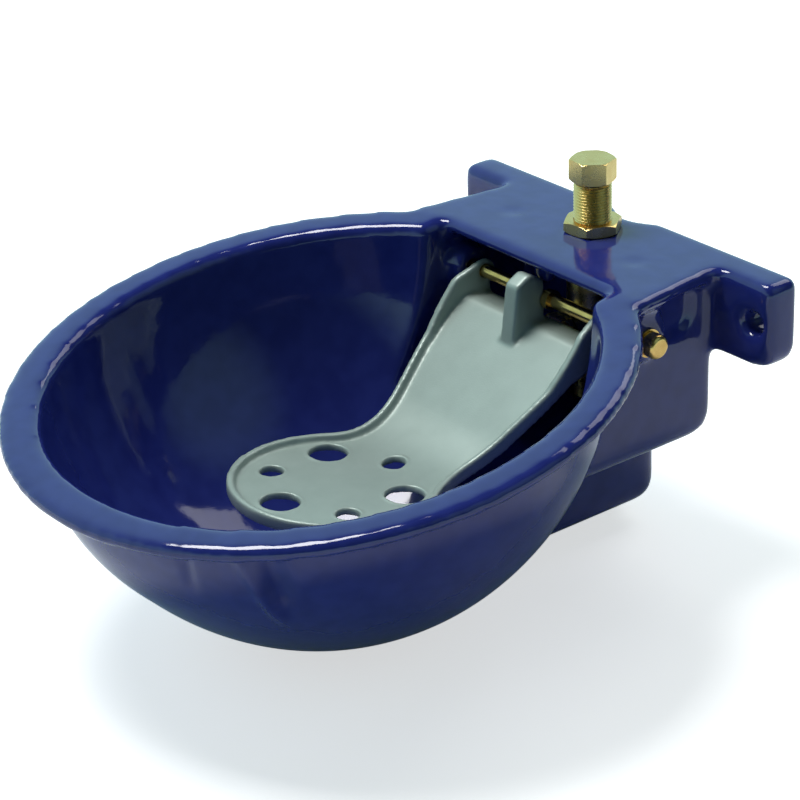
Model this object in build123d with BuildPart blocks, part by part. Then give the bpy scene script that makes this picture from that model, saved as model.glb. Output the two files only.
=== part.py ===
"""Livestock drinking bowl: an enamelled cast-iron bowl with a tongue that the animal pushes to open the valve.

Frame: millimetres, +Z up. The wall is the plane Y = 0 and the bowl stands out from it towards -Y.
The origin is the middle of the line between the two wall bolts, on the back face of the flange.
"""

import os
from math import cos, radians, sin, tan

from build123d import *

os.makedirs("parts", exist_ok=True)

# ---------------------------------------------------------------- driving dimensions
# wall flange
FLANGE_WIDTH = 196.0
FLANGE_HEIGHT = 39.0
FLANGE_THICKNESS = 17.0
FLANGE_CORNER_R = 9.0
FLANGE_EDGE_R = 1.5
BOLT_SPACING = 174.0
BOLT_HOLE_D = 10.5
NOTCH_WIDTH = 24.0
NOTCH_DEPTH = 6.0

# cover plate, level with the flange's top and wider towards the front
COVER_WIDTH = 132.0
COVER_FRONT_WIDTH = 146.0
COVER_FRONT_Y = -66.0
COVER_THICKNESS = 6.5
DIMPLE_SPACING = 78.0
DIMPLE_Y = -38.0
DIMPLE_R = 30.0
DIMPLE_DEPTH = 0.6

# bowl and its tilted rim
RIM_TILT = 8.7
RIM_CENTRE_Y = -177.0
RIM_OUTER_R = 132.5
RIM_WIDTH = 17.5
RIM_OVERHANG = 13.0
RIM_LIP_HEIGHT = 7.0
RIM_EDGE_R = 2.4
RIM_INNER_EDGE_R = 2.4
RIM_ROOT_R = 5.0
BOWL_DEPTH = 116.0
BOWL_WALL = 5.5
BOWL_DRAW_IN = 4.8
BOWL_SHOULDER_DEPTH = 52.0
BOWL_BELLY_SHARE = 0.617

# soft swelling of the front wall, with a flute at each end of it
BROW_SHIFT = 12.0
BROW_SWELL = 7.5
BROW_SUNK = 0.8
BROW_RISE = 12.0
FLUTE_ANGLE = 43.5
FLUTE_R = 6.0
FLUTE_DEPTH = 1.8
FLUTE_TOP = 11.0
FLUTE_BOTTOM = 44.0
FLUTE_IN = 3.4
FLUTE_LEAN = 16.0

# valve housing under the cover
HOUSING_WIDTH = 124.0
HOUSING_BACK_Y = -12.5
HOUSING_BOTTOM_Z = -62.5
HOUSING_FRONT_Y = -112.0
HOUSING_BACK_R = 14.0
HOUSING_EDGE_R = 11.0
HOUSING_WALL = 6.0
OPENING_WIDTH = 106.0
OPENING_FRONT_Y = -95.0
CHAMBER_CORNER_R = 5.0
TOWER_R = 19.5
TOWER_BORE_R = 14.0
PANEL_DEPTH = 3.0
PANEL_BACK_Y = -25.5
PANEL_FRONT_Y = -66.0
PANEL_BOTTOM_Z = -8.0
PANEL_CORNER_R = 9.0

# skirt under the housing, open below, round the supply pipe
SKIRT_WIDTH = 60.0
SKIRT_BACK_Y = -13.0
SKIRT_FRONT_Y = -130.0
SKIRT_BOTTOM_Z = -104.5
SKIRT_EDGE_R = 10.0
SKIRT_CORNER_R = 8.5

# hinge pin of the tongue
PIN_Y = -56.0
PIN_Z = -3.0
PIN_R = 3.0
PIN_BOSS_R = 12.0
PIN_BOSS_UP = 2.8
PIN_BOSS_PROUD = 4.5
INNER_BOSS_R = 9.0
INNER_BOSS_GAP = 0.6
PIN_WASHER_R = 6.2
PIN_WASHER_T = 1.0
PIN_HEX_AF = 10.0
PIN_HEAD_R = 5.4
PIN_HEAD_HEIGHT = 4.5
PIN_DOME_HEIGHT = 2.2
PIN_END_CHAMFER = 0.6
NUT_CHAMFER = 0.8
PIN_NUT_HEIGHT = 5.0
PIN_END_PROUD = 1.5
COLLAR_R = 4.5
COLLAR_WIDTH = 3.5

# tongue
TONGUE_T = 3.2
TONGUE_SLOPE = 37.5
TONGUE_CREST_Y = -64.3
TONGUE_CREST_Z = -18.0
TONGUE_CREST_R = 6.0
TONGUE_SHELF_FALL = 6.0
TONGUE_SHELF_LENGTH = 10.7
TONGUE_SLOPE_LENGTH = 49.0
TONGUE_BEND_R = 61.0
TONGUE_FRONT_RISE = 3.0
TONGUE_BACK_Y = -49.0
TONGUE_HEEL_WIDTH = 79.0
TONGUE_SHOULDER_WIDTH = 86.0
TONGUE_SHOULDER_Y = -72.0
TONGUE_WAIST_WIDTH = 68.6
TONGUE_WAIST_Y = -113.0
DISH_R = 45.3
DISH_Y = -170.6
DISH_JOIN_ANGLE = 55.0
EDGE_WIDTH = 3.5
EDGE_HEIGHT = 3.2
EAR_R = 5.2
EAR_T = 4.0
EAR_SHOULDER_Y = -67.0
EAR_SHOULDER_Z = -8.0
EAR_SHOULDER_R = 5.3
EAR_RUN = 22.0
HOLE_RING_R = 29.9
HOLE_RING_Y = -169.3
LARGE_HOLE_D = 16.2
SMALL_HOLE_D = 9.6
TAB_WIDTH = 8.6
TAB_TOP_Y = -65.4
TAB_TOP_Z = 10.6
TAB_BACK_Z = 6.0
TAB_FRONT_Y = -73.0
TAB_FRONT_Z = 6.6
TAB_CROWN_R = 1.8
TAB_FOOT_RUN = 12.5
TAB_BACK = 1.5
STOP_LENGTH = 8.0
STOP_DEPTH = 11.0
STOP_MARGIN = 3.0
HEEL_FACE_Y = -62.0
HEEL_BOTTOM_Z = -33.0
HEEL_RUN = 30.0

# water fittings, G 3/8 thread
THREAD_R = 8.331
WATERWAY_R = 5.5
VALVE_Y = -26.0
TEE_R = 11.5
TEE_BOTTOM_Z = -47.0
TEE_SOCKET_DEPTH = 11.0
TEE_COLLAR_T = 3.0
BRANCH_R = 11.0
BRANCH_FRONT_Y = -42.8
SEAL_RING_T = 1.5
SEAL_RING_R = 12.5
LOCK_NUT_AF = 23.0
LOCK_NUT_T = 5.0
LOCK_NUT_CHAMFER = 1.6
NECK_SHOWING = 17.0
PLUG_AF = 18.0
PLUG_HEIGHT = 10.0
PLUG_CHAMFER = 1.2
PLUG_TURN = -8.2
COVER_NUT_TURN = 6.1
PLUG_STUB_LENGTH = 9.0
GASKET_T = 0.8
NIPPLE_CHAMFER = 1.0
NIPPLE_GAP = 0.5
INLET_GROOVE_WIDTH = 1.0
INLET_GROOVE_DEPTH = 0.8
FREE_THREAD = 13.0
STRAINER_LENGTH = 14.0
STRAINER_WALL = 0.5
STRAINER_HOLE_D = 1.6

# valve in the tee's branch, on a horizontal axis
STEM_Z = -26.0
STEM_R = 2.25
STEM_BUTTON_R = 4.2
STEM_BUTTON_T = 3.0
STEM_BUTTON_EDGE_R = 2.6
STEM_END = 0.7
STEM_GAP = 0.3
SEAT_THREAD_R = 8.0
SEAT_HEX_AF = 20.0
SEAT_HEX_T = 4.5
SEAT_NOSE_R = 6.0
SEAT_NOSE_LENGTH = 6.0
SEAT_LIP_CHAMFER = 1.5
SEAT_PORT_R = 4.0
SEAT_LIP_Y = -37.0
SEAT_GUIDE = 2.0
OUTLET_D = 2.6
SEAL_GAP = 0.1
DISC_R = 6.4
DISC_T = 2.5
DISC_WASHER_T = 0.8
STEM_NUT_AF = 5.5
STEM_NUT_T = 2.4
SPRING_R = 5.2
SPRING_WIRE_R = 0.55
SPRING_TURNS = 5
SPRING_END_Y = -18.0
SPRING_CHAMBER_R = 7.0

# clearances
RUN_CLEAR = 0.05
FIT_CLEAR = 0.05
HOLE_CLEAR = 0.3
TAB_CLEAR = 0.3
STOP_GAP = 0.3
COLLAR_GAP = 0.2

# ---------------------------------------------------------------- places worked out from them
notch_r = (NOTCH_WIDTH**2 / 4 + NOTCH_DEPTH**2) / (2 * NOTCH_DEPTH)
tab_back_y = PIN_Y - TAB_BACK
cover_top = FLANGE_HEIGHT / 2
cover_under = cover_top - COVER_THICKNESS
cover_start_y = -FLANGE_THICKNESS / 2
cover_flare = (COVER_FRONT_WIDTH - COVER_WIDTH) / (cover_start_y - COVER_FRONT_Y)
cover_end_width = COVER_WIDTH + cover_flare * (cover_start_y - OPENING_FRONT_Y)
rim_inner_r = RIM_OUTER_R - RIM_WIDTH
bowl_top_r = RIM_OUTER_R - RIM_OVERHANG
bowl_shoulder_r = bowl_top_r - BOWL_DRAW_IN
bowl_belly_r = BOWL_BELLY_SHARE * bowl_top_r
tilt = radians(RIM_TILT)
rim_centre_z = cover_top - (COVER_FRONT_Y - RIM_CENTRE_Y) * tan(tilt)
rim_centre = (0, RIM_CENTRE_Y, rim_centre_z)
rim_axis = Axis(rim_centre, (0, -sin(tilt), cos(tilt)))
rim_section = Plane(origin=rim_centre, x_dir=(1, 0, 0), z_dir=(0, -cos(tilt), -sin(tilt)))
brow_section = rim_section.offset(BROW_SHIFT)
brow_axis = Axis(brow_section.origin, rim_axis.direction)
flute_place = rim_section * Location(
    (bowl_top_r - FLUTE_IN + FLUTE_R - FLUTE_DEPTH, -(FLUTE_TOP + FLUTE_BOTTOM) / 2, 0), (90, -FLUTE_LEAN, 0)
)
chamber_back_y = HOUSING_BACK_Y - HOUSING_WALL
chamber_floor_z = HOUSING_BOTTOM_Z + HOUSING_WALL
boss_face_x = HOUSING_WIDTH / 2 + PIN_BOSS_PROUD
washer_face_x = boss_face_x + PIN_WASHER_T
valve_xy = (0, VALVE_Y)
tee_top_z = cover_under - SEAL_RING_T
neck_top_z = cover_top + LOCK_NUT_T + NECK_SHOWING
floor_nut_top_z = HOUSING_BOTTOM_Z - SEAL_RING_T
inlet_end_z = floor_nut_top_z - LOCK_NUT_T - FREE_THREAD
button_tip_y = HEEL_FACE_Y + STEM_GAP
above_rim_z = cover_top + RIM_LIP_HEIGHT
seat_flange_y = BRANCH_FRONT_Y - GASKET_T
seat_nose_y = seat_flange_y - SEAT_HEX_T
seat_tip_y = seat_nose_y - SEAT_NOSE_LENGTH
outlet_y = seat_nose_y - OUTLET_D
disc_front_y = SEAT_LIP_Y + SEAL_GAP
disc_back_y = disc_front_y + DISC_T
washer_back_y = disc_back_y + DISC_WASHER_T
stem_end_y = washer_back_y + STEM_NUT_T + STEM_END
spring_length = SPRING_END_Y - washer_back_y - 2 * SPRING_WIRE_R
slope_angle = radians(180 + TONGUE_SLOPE)
slope_way = Vector(cos(slope_angle), sin(slope_angle))
slope_up = Vector(sin(slope_angle), -cos(slope_angle))
shelf_angle = radians(180 - TONGUE_SHELF_FALL)
crest_centre = Vector(TONGUE_CREST_Y, TONGUE_CREST_Z)
slope_start = crest_centre + slope_up * (TONGUE_CREST_R - TONGUE_T / 2)
tab_foot = slope_start + slope_way * TAB_FOOT_RUN
ear_foot = slope_start + slope_way * EAR_RUN + slope_up * EDGE_HEIGHT
inner_boss_x = (TONGUE_SHOULDER_WIDTH / 2) + INNER_BOSS_GAP
heel_foot = slope_start + slope_way * HEEL_RUN
join_angle = radians(DISH_JOIN_ANGLE)


def slanted_top(front_y):
    """Height of the rim's plane at front_y, which falls away from the cover's front edge."""
    return cover_top - (COVER_FRONT_Y - front_y) * tan(tilt)


def hexagon(across_flats):
    """Regular hexagon with the given width across flats, in the sketch being built."""
    return RegularPolygon(across_flats / 2, 6, major_radius=False)


def finish(piece, name):
    """Label a finished piece and write it to its own STEP file."""
    piece.part.label = name
    export_step(piece.part, f"parts/{name}.step")


# ---------------------------------------------------------------- bowl casting
# the space inside the bowl, the opening behind it and the valve chamber, as one shape to take away
with BuildPart() as bowl_hollow:
    with BuildSketch(rim_section):
        with BuildLine():
            rim_edge = JernArc((rim_inner_r + RIM_INNER_EDGE_R, 0), (-1, 0), RIM_INNER_EDGE_R, 90)
            inner_wall = Bezier(
                rim_edge @ 1,
                (bowl_shoulder_r - BOWL_WALL, -BOWL_SHOULDER_DEPTH),
                (bowl_belly_r, BOWL_WALL - BOWL_DEPTH),
                (0, BOWL_WALL - BOWL_DEPTH),
            )
            Polyline(inner_wall @ 1, (0, RIM_LIP_HEIGHT), ((rim_edge @ 0).X, RIM_LIP_HEIGHT), rim_edge @ 0)
        make_face()
    revolve(axis=rim_axis)
    split(bisect_by=Plane.XZ.offset(-COVER_FRONT_Y), keep=Keep.TOP)
    with BuildSketch(Plane.YZ):
        with BuildLine():
            Polyline(
                (OPENING_FRONT_Y, above_rim_z),
                (COVER_FRONT_Y, above_rim_z),
                (COVER_FRONT_Y, cover_under),
                (chamber_back_y, cover_under),
                (chamber_back_y, chamber_floor_z),
                (OPENING_FRONT_Y, chamber_floor_z),
                close=True,
            )
        make_face()
    extrude(amount=OPENING_WIDTH / 2, both=True)
    fillet(bowl_hollow.edges().filter_by(Axis.Z).group_by(Axis.Y)[-1], CHAMBER_CORNER_R)
    with BuildSketch(Plane.XY.offset(chamber_floor_z)):
        with Locations(valve_xy):
            Circle(TOWER_BORE_R)
    extrude(amount=cover_under - chamber_floor_z)

# bowl wall and rim as a turned solid
with BuildPart() as bowl_turning:
    with BuildSketch(rim_section) as bowl_profile:
        with BuildLine():
            rim_root = JernArc((bowl_top_r + RIM_ROOT_R, -RIM_LIP_HEIGHT), (-1, 0), RIM_ROOT_R, 90)
            outer_wall = Bezier(
                rim_root @ 1,
                (bowl_shoulder_r, -BOWL_SHOULDER_DEPTH),
                (bowl_belly_r, -BOWL_DEPTH),
                (0, -BOWL_DEPTH),
            )
            Polyline(
                outer_wall @ 1,
                (0, 0),
                (RIM_OUTER_R, 0),
                (RIM_OUTER_R, -RIM_LIP_HEIGHT),
                rim_root @ 0,
            )
        make_face()
        rim_corners = bowl_profile.vertices().group_by(Axis.X)[-1]
        fillet(rim_corners, RIM_EDGE_R)
    revolve(axis=rim_axis)

# the swelling is a like wall turned about an axis further forward, so it dies away to the sides
with BuildPart() as brow:
    with BuildSketch(brow_section):
        with BuildLine():
            brow_wall = Bezier(
                (bowl_top_r - BROW_SHIFT - BROW_SUNK, -RIM_LIP_HEIGHT),
                (bowl_shoulder_r - BROW_SHIFT + BROW_SWELL, -BOWL_SHOULDER_DEPTH),
                (bowl_belly_r - BROW_SHIFT, BROW_RISE - BOWL_DEPTH),
                (0, BROW_RISE - BOWL_DEPTH),
            )
            Polyline(brow_wall @ 1, (0, -RIM_LIP_HEIGHT), brow_wall @ 0)
        make_face()
    revolve(axis=brow_axis)

# a flute is a round-ended bar laid along the wall
with BuildPart(flute_place) as flute:
    Cylinder(FLUTE_R, FLUTE_BOTTOM - FLUTE_TOP)
    fillet(flute.edges().filter_by(GeomType.CIRCLE), FLUTE_R * 0.9)

# cover plate, level over the chamber and sloping with the rim in front of it
with BuildPart() as cover:
    with BuildSketch(Plane.YZ):
        with BuildLine():
            Polyline(
                (cover_start_y, cover_top),
                (COVER_FRONT_Y, cover_top),
                (OPENING_FRONT_Y, slanted_top(OPENING_FRONT_Y)),
                (OPENING_FRONT_Y, slanted_top(OPENING_FRONT_Y) - COVER_THICKNESS),
                (COVER_FRONT_Y, cover_under),
                (cover_start_y, cover_under),
                close=True,
            )
        make_face()
    extrude(amount=COVER_FRONT_WIDTH, both=True)
    with BuildSketch() as cover_plan:
        Polygon(
            (COVER_WIDTH / 2, cover_start_y),
            (-COVER_WIDTH / 2, cover_start_y),
            (-cover_end_width / 2, OPENING_FRONT_Y),
            (cover_end_width / 2, OPENING_FRONT_Y),
            align=None,
        )
    extrude(amount=FLANGE_HEIGHT, both=True, mode=Mode.INTERSECT)

# skirt round the supply pipe
with BuildPart() as skirt:
    with BuildSketch(Plane.YZ) as skirt_side:
        with BuildLine():
            Polyline(
                (SKIRT_BACK_Y, HOUSING_BOTTOM_Z + HOUSING_WALL),
                (SKIRT_FRONT_Y, HOUSING_BOTTOM_Z + HOUSING_WALL),
                (SKIRT_FRONT_Y, SKIRT_BOTTOM_Z),
                (SKIRT_BACK_Y, SKIRT_BOTTOM_Z),
                close=True,
            )
        make_face()
        fillet(skirt_side.vertices().group_by(Axis.Y)[0].sort_by(Axis.X)[-1], SKIRT_EDGE_R)
    extrude(amount=SKIRT_WIDTH / 2, both=True)
    fillet(skirt.edges().filter_by(Axis.Z).group_by(Axis.Y)[-1], SKIRT_CORNER_R)

with BuildPart() as casting:
    # housing block: side view, then rounded below in the front view
    with BuildSketch(Plane.YZ) as housing_side:
        with BuildLine():
            Polyline(
                (HOUSING_BACK_Y, cover_top),
                (COVER_FRONT_Y, cover_top),
                (HOUSING_FRONT_Y, slanted_top(HOUSING_FRONT_Y)),
                (HOUSING_FRONT_Y, HOUSING_BOTTOM_Z),
                (HOUSING_BACK_Y, HOUSING_BOTTOM_Z),
                close=True,
            )
        make_face()
        fillet(housing_side.vertices().group_by(Axis.Y)[0].sort_by(Axis.X)[-1], HOUSING_BACK_R)
    extrude(amount=HOUSING_WIDTH / 2, both=True)
    with BuildSketch(Plane.XZ) as housing_front:
        with Locations((0, (cover_top + HOUSING_BOTTOM_Z) / 2)):
            Rectangle(HOUSING_WIDTH, cover_top - HOUSING_BOTTOM_Z)
        fillet(housing_front.vertices().group_by(Axis.Y)[0], HOUSING_EDGE_R)
    extrude(amount=-HOUSING_FRONT_Y, mode=Mode.INTERSECT)

    # side panels sunk round the pin boss, under the cover
    for side in (-1, 1):
        with BuildSketch(Plane.YZ.offset(side * HOUSING_WIDTH / 2)) as panel:
            with BuildLine():
                Polyline(
                    (PANEL_FRONT_Y, cover_under),
                    (PANEL_FRONT_Y, PANEL_BOTTOM_Z),
                    (PANEL_BACK_Y, PANEL_BOTTOM_Z),
                    (PANEL_BACK_Y, cover_under),
                    close=True,
                )
            make_face()
            fillet(panel.vertices().group_by(Axis.Y)[0], PANEL_CORNER_R)
        extrude(amount=-side * PANEL_DEPTH, mode=Mode.SUBTRACT)

    # round tower at the back, with the valve in its upper half and the supply pipe in its lower half
    with BuildSketch(Plane.XY.offset(SKIRT_BOTTOM_Z)):
        with Locations(valve_xy):
            Circle(TOWER_R)
    extrude(amount=cover_top - SKIRT_BOTTOM_Z)

    # skirt, open below
    add(skirt.part)
    with BuildSketch(Plane.XY.offset(HOUSING_BOTTOM_Z)):
        with BuildLine():
            Polyline(
                (SKIRT_WIDTH / 2 - BOWL_WALL, SKIRT_BACK_Y - BOWL_WALL),
                (SKIRT_WIDTH / 2 - BOWL_WALL, SKIRT_FRONT_Y),
                (BOWL_WALL - SKIRT_WIDTH / 2, SKIRT_FRONT_Y),
                (BOWL_WALL - SKIRT_WIDTH / 2, SKIRT_BACK_Y - BOWL_WALL),
                close=True,
            )
        make_face()
        with Locations(valve_xy):
            Circle(TOWER_BORE_R)
    extrude(amount=SKIRT_BOTTOM_Z - HOUSING_BOTTOM_Z, mode=Mode.SUBTRACT)

    add(cover.part)

    # wall flange with its two bolt ears
    with BuildSketch(Plane.XZ) as flange_face:
        Rectangle(FLANGE_WIDTH, FLANGE_HEIGHT)
        fillet(flange_face.vertices().group_by(Axis.Y)[0], FLANGE_CORNER_R)
        fillet(flange_face.vertices().group_by(Axis.Y)[-1], FLANGE_EDGE_R)
    extrude(amount=FLANGE_THICKNESS)

    # bosses for the hinge pin outside
    for side in (-1, 1):
        with BuildSketch(Plane.YZ.offset(side * HOUSING_WIDTH / 4)):
            with Locations((PIN_Y, PIN_Z + PIN_BOSS_UP)):
                Circle(PIN_BOSS_R)
        extrude(amount=side * (boss_face_x - HOUSING_WIDTH / 4))

    add(bowl_turning.part)
    add(brow.part)
    add(bowl_hollow.part, mode=Mode.SUBTRACT)
    for angle in (-FLUTE_ANGLE, FLUTE_ANGLE):
        add(flute.part.rotate(rim_axis, angle - 90), mode=Mode.SUBTRACT)

    # bosses for the hinge pin inside, beside the tongue's ears
    for side in (-1, 1):
        with BuildSketch(Plane.YZ.offset(side * inner_boss_x)):
            with Locations((PIN_Y, PIN_Z)):
                Circle(INNER_BOSS_R)
        extrude(amount=side * (HOUSING_WIDTH / 2 - PANEL_DEPTH - inner_boss_x))

    # nothing stands above the cover
    split(bisect_by=Plane.XY.offset(cover_top), keep=Keep.BOTTOM)

    # stop for the tongue's tab, under the cover
    with BuildSketch(Plane.XY.offset(cover_under)):
        with Locations((0, tab_back_y + STOP_GAP + STOP_LENGTH / 2)):
            Rectangle(TAB_WIDTH + STOP_MARGIN, STOP_LENGTH)
    extrude(amount=-STOP_DEPTH)

    # valve holes in the cover and the floor
    with BuildSketch(Plane.XY.offset(SKIRT_BOTTOM_Z)):
        with Locations(valve_xy):
            Circle(THREAD_R + HOLE_CLEAR)
    extrude(amount=cover_top - SKIRT_BOTTOM_Z, mode=Mode.SUBTRACT)

    # hinge pin bores through both side walls
    with BuildSketch(Plane.YZ):
        with Locations((PIN_Y, PIN_Z)):
            Circle(PIN_R + RUN_CLEAR)
    extrude(amount=boss_face_x, both=True, mode=Mode.SUBTRACT)

    # wall bolt holes
    with BuildSketch(Plane.XZ):
        with GridLocations(BOLT_SPACING, 0, 2, 1):
            Circle(BOLT_HOLE_D / 2)
    extrude(amount=FLANGE_THICKNESS, mode=Mode.SUBTRACT)

    # notch for a pipe at the back of the flange, and two casting dimples on the cover
    with BuildSketch(Plane.XY.offset(-FLANGE_HEIGHT / 2)):
        with Locations((0, notch_r - NOTCH_DEPTH)):
            Circle(notch_r)
    extrude(amount=FLANGE_HEIGHT, mode=Mode.SUBTRACT)
    with Locations((0, DIMPLE_Y, cover_top + DIMPLE_R - DIMPLE_DEPTH)):
        with GridLocations(DIMPLE_SPACING, 0, 2, 1):
            Sphere(DIMPLE_R, mode=Mode.SUBTRACT)

# the skirt below the housing is cast in one with the bowl, and is a node of its own beside it
with BuildPart() as supply_skirt:
    add(casting.part)
    split(bisect_by=Plane.XY.offset(HOUSING_BOTTOM_Z), keep=Keep.BOTTOM)
    add([bowl_turning.part, brow.part], mode=Mode.SUBTRACT)
finish(supply_skirt, "supply_skirt")

with BuildPart() as bowl_casting:
    add(casting.part)
    add(supply_skirt.part, mode=Mode.SUBTRACT)
finish(bowl_casting, "bowl_casting")

# ---------------------------------------------------------------- tongue
def blade_line(lift):
    """Side view of the tongue moved up by lift from its top face: shelf, crest, slope, bend and dish."""
    crest_radius = TONGUE_CREST_R + lift
    shelf_way = Vector(cos(shelf_angle), sin(shelf_angle))
    shelf_end = crest_centre + Vector(sin(shelf_angle), -cos(shelf_angle)) * crest_radius
    shelf = Line(shelf_end - shelf_way * TONGUE_SHELF_LENGTH, shelf_end)
    crest = JernArc(shelf @ 1, shelf % 1, crest_radius, TONGUE_SLOPE + TONGUE_SHELF_FALL)
    slope = Line(crest @ 1, crest @ 1 + (crest % 1) * TONGUE_SLOPE_LENGTH)
    bend = JernArc(slope @ 1, slope % 1, TONGUE_BEND_R - lift, -TONGUE_SLOPE - TONGUE_FRONT_RISE)
    front = Line(bend @ 1, bend @ 1 + (bend % 1) * 2 * DISH_R)
    return shelf @ 0, front @ 1


def blade_side(low, high):
    """Closed side view of what lies between two heights over the tongue's top face."""
    with BuildLine() as side_view:
        low_back, low_front = blade_line(low)
        high_back, high_front = blade_line(high)
        Line(low_back, high_back)
        Line(low_front, high_front)
    return side_view.line


def tongue_plan(inset):
    """Plan view of the tongue drawn in by inset: heel, shoulders, waist and round dish."""
    dish_reach = DISH_R - inset
    half_heel = TONGUE_HEEL_WIDTH / 2 - inset
    with BuildLine() as plan_view:
        neck = Spline(
            (half_heel, TONGUE_BACK_Y),
            (TONGUE_SHOULDER_WIDTH / 2 - inset, TONGUE_SHOULDER_Y),
            (TONGUE_WAIST_WIDTH / 2 - inset, TONGUE_WAIST_Y),
            (dish_reach * sin(join_angle), DISH_Y + dish_reach * cos(join_angle)),
            tangents=[(0, -1), (cos(join_angle), -sin(join_angle))],
        )
        ThreePointArc(neck @ 1, (dish_reach, DISH_Y), (0, DISH_Y - dish_reach))
        mirror(plan_view.line, about=Plane.YZ)
        Line((-half_heel, TONGUE_BACK_Y), (half_heel, TONGUE_BACK_Y))
    return plan_view.line


# room above the blade inside its raised edge
with BuildPart() as tongue_tray:
    with BuildSketch(Plane.YZ):
        make_face(blade_side(0, 2 * EDGE_HEIGHT).edges())
    extrude(amount=TONGUE_SHOULDER_WIDTH, both=True)
    with BuildSketch(Plane.XY.offset(-TONGUE_SHOULDER_WIDTH)):
        make_face(tongue_plan(EDGE_WIDTH).edges())
    extrude(amount=2 * TONGUE_SHOULDER_WIDTH, mode=Mode.INTERSECT)

# two ears on the hinge pin, which rise from the raised edge and follow its outline
with BuildPart() as ears:
    with BuildSketch(Plane.YZ):
        for place, radius in (
            ((PIN_Y, PIN_Z), EAR_R),
            ((EAR_SHOULDER_Y, EAR_SHOULDER_Z), EAR_SHOULDER_R),
            ((crest_centre.X, crest_centre.Y), TONGUE_CREST_R - TONGUE_T),
            ((ear_foot.X, ear_foot.Y), TONGUE_T / 2),
        ):
            with Locations(place):
                Circle(radius)
        make_hull()
    extrude(amount=TONGUE_SHOULDER_WIDTH, both=True)
    with BuildSketch(Plane.XY.offset(-TONGUE_SHOULDER_WIDTH)):
        make_face(tongue_plan(0).edges())
        make_face(tongue_plan(EAR_T).edges(), mode=Mode.SUBTRACT)
    extrude(amount=2 * TONGUE_SHOULDER_WIDTH, mode=Mode.INTERSECT)

with BuildPart() as tongue:
    # blade with its raised edge, cut to the outline
    with BuildSketch(Plane.YZ):
        make_face(blade_side(-TONGUE_T, EDGE_HEIGHT).edges())
    extrude(amount=TONGUE_SHOULDER_WIDTH, both=True)
    with BuildSketch(Plane.XY.offset(-TONGUE_SHOULDER_WIDTH)):
        make_face(tongue_plan(0).edges())
    extrude(amount=2 * TONGUE_SHOULDER_WIDTH, mode=Mode.INTERSECT)
    add(tongue_tray.part, mode=Mode.SUBTRACT)

    # large and small holes by turns round the dish
    with BuildSketch(Plane.XY):
        with Locations((0, HOLE_RING_Y)):
            with PolarLocations(HOLE_RING_R, 3, start_angle=-90):
                Circle(LARGE_HOLE_D / 2)
            with PolarLocations(HOLE_RING_R, 3, start_angle=90):
                Circle(SMALL_HOLE_D / 2)
    extrude(amount=HOUSING_FRONT_Y, mode=Mode.SUBTRACT)

    add(ears.part)

    # tab over the blade and heel under it, one web on the middle line
    with BuildSketch(Plane.YZ) as tab:
        with BuildLine():
            Polyline(
                (tab_back_y, crest_centre.Y),
                (tab_back_y, TAB_BACK_Z),
                (TAB_TOP_Y, TAB_TOP_Z),
                (TAB_FRONT_Y, TAB_FRONT_Z),
                (tab_foot.X, tab_foot.Y),
                close=True,
            )
        make_face()
        fillet(tab.vertices().sort_by(Axis.Y)[-3:], TAB_CROWN_R)
        with BuildLine():
            Polyline(
                (HEEL_FACE_Y, crest_centre.Y + TONGUE_CREST_R - TONGUE_T / 2),
                (HEEL_FACE_Y, HEEL_BOTTOM_Z),
                (heel_foot.X, heel_foot.Y),
                (tab_foot.X, tab_foot.Y),
                close=True,
            )
        make_face()
    extrude(amount=TAB_WIDTH / 2, both=True)

    # the tab lies round the front of the pin, and the ears turn on it
    with BuildSketch(Plane.YZ):
        with Locations((PIN_Y, PIN_Z)):
            Circle(PIN_R + TAB_CLEAR)
    extrude(amount=TAB_WIDTH, both=True, mode=Mode.SUBTRACT)
    with BuildSketch(Plane.YZ):
        with Locations((PIN_Y, PIN_Z)):
            Circle(PIN_R + RUN_CLEAR)
    extrude(amount=TONGUE_HEEL_WIDTH, both=True, mode=Mode.SUBTRACT)
finish(tongue, "tongue")


# ---------------------------------------------------------------- hinge pin and its small parts
def hex_blank(across_flats, height, chamfer_top, chamfer_under=0):
    """Hexagon bar standing on the XY plane, its corners turned off at 30 degrees above and below."""
    corner_r = across_flats / (2 * cos(radians(30)))
    top_drop = chamfer_top * tan(radians(30))
    under_rise = chamfer_under * tan(radians(30))
    with BuildPart() as blank:
        with BuildSketch():
            hexagon(across_flats)
        extrude(amount=height)
        with BuildSketch(Plane.XZ):
            Polygon(
                (0, 0),
                (corner_r - chamfer_under, 0),
                (corner_r, under_rise),
                (corner_r, height - top_drop),
                (corner_r - chamfer_top, height),
                (0, height),
                align=None,
            )
        revolve(axis=Axis.Z, mode=Mode.INTERSECT)
    return blank.part


def ring(plane, outer_r, inner_r, thickness, name):
    """Flat ring that grows from the plane along its normal, finished under the given name."""
    with BuildPart() as flat_ring:
        with BuildSketch(plane):
            Circle(outer_r)
            Circle(inner_r, mode=Mode.SUBTRACT)
        extrude(amount=thickness)
    finish(flat_ring, name)


def across_x(x, facing=1):
    """Plane across the hinge pin at x, facing +X or -X."""
    return Plane(origin=(x, PIN_Y, PIN_Z), x_dir=(0, facing, 0), z_dir=(facing, 0, 0))


def along_stem(y, facing=1):
    """Plane across the valve stem at y, facing +Y or -Y."""
    return Plane(origin=(0, y, STEM_Z), x_dir=(-facing, 0, 0), z_dir=(0, facing, 0))


def on_valve(z, facing=1):
    """Plane across the upright water fittings at z, facing +Z or -Z."""
    return Plane(origin=(0, VALVE_Y, z), x_dir=(facing, 0, 0), z_dir=(0, 0, facing))


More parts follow.
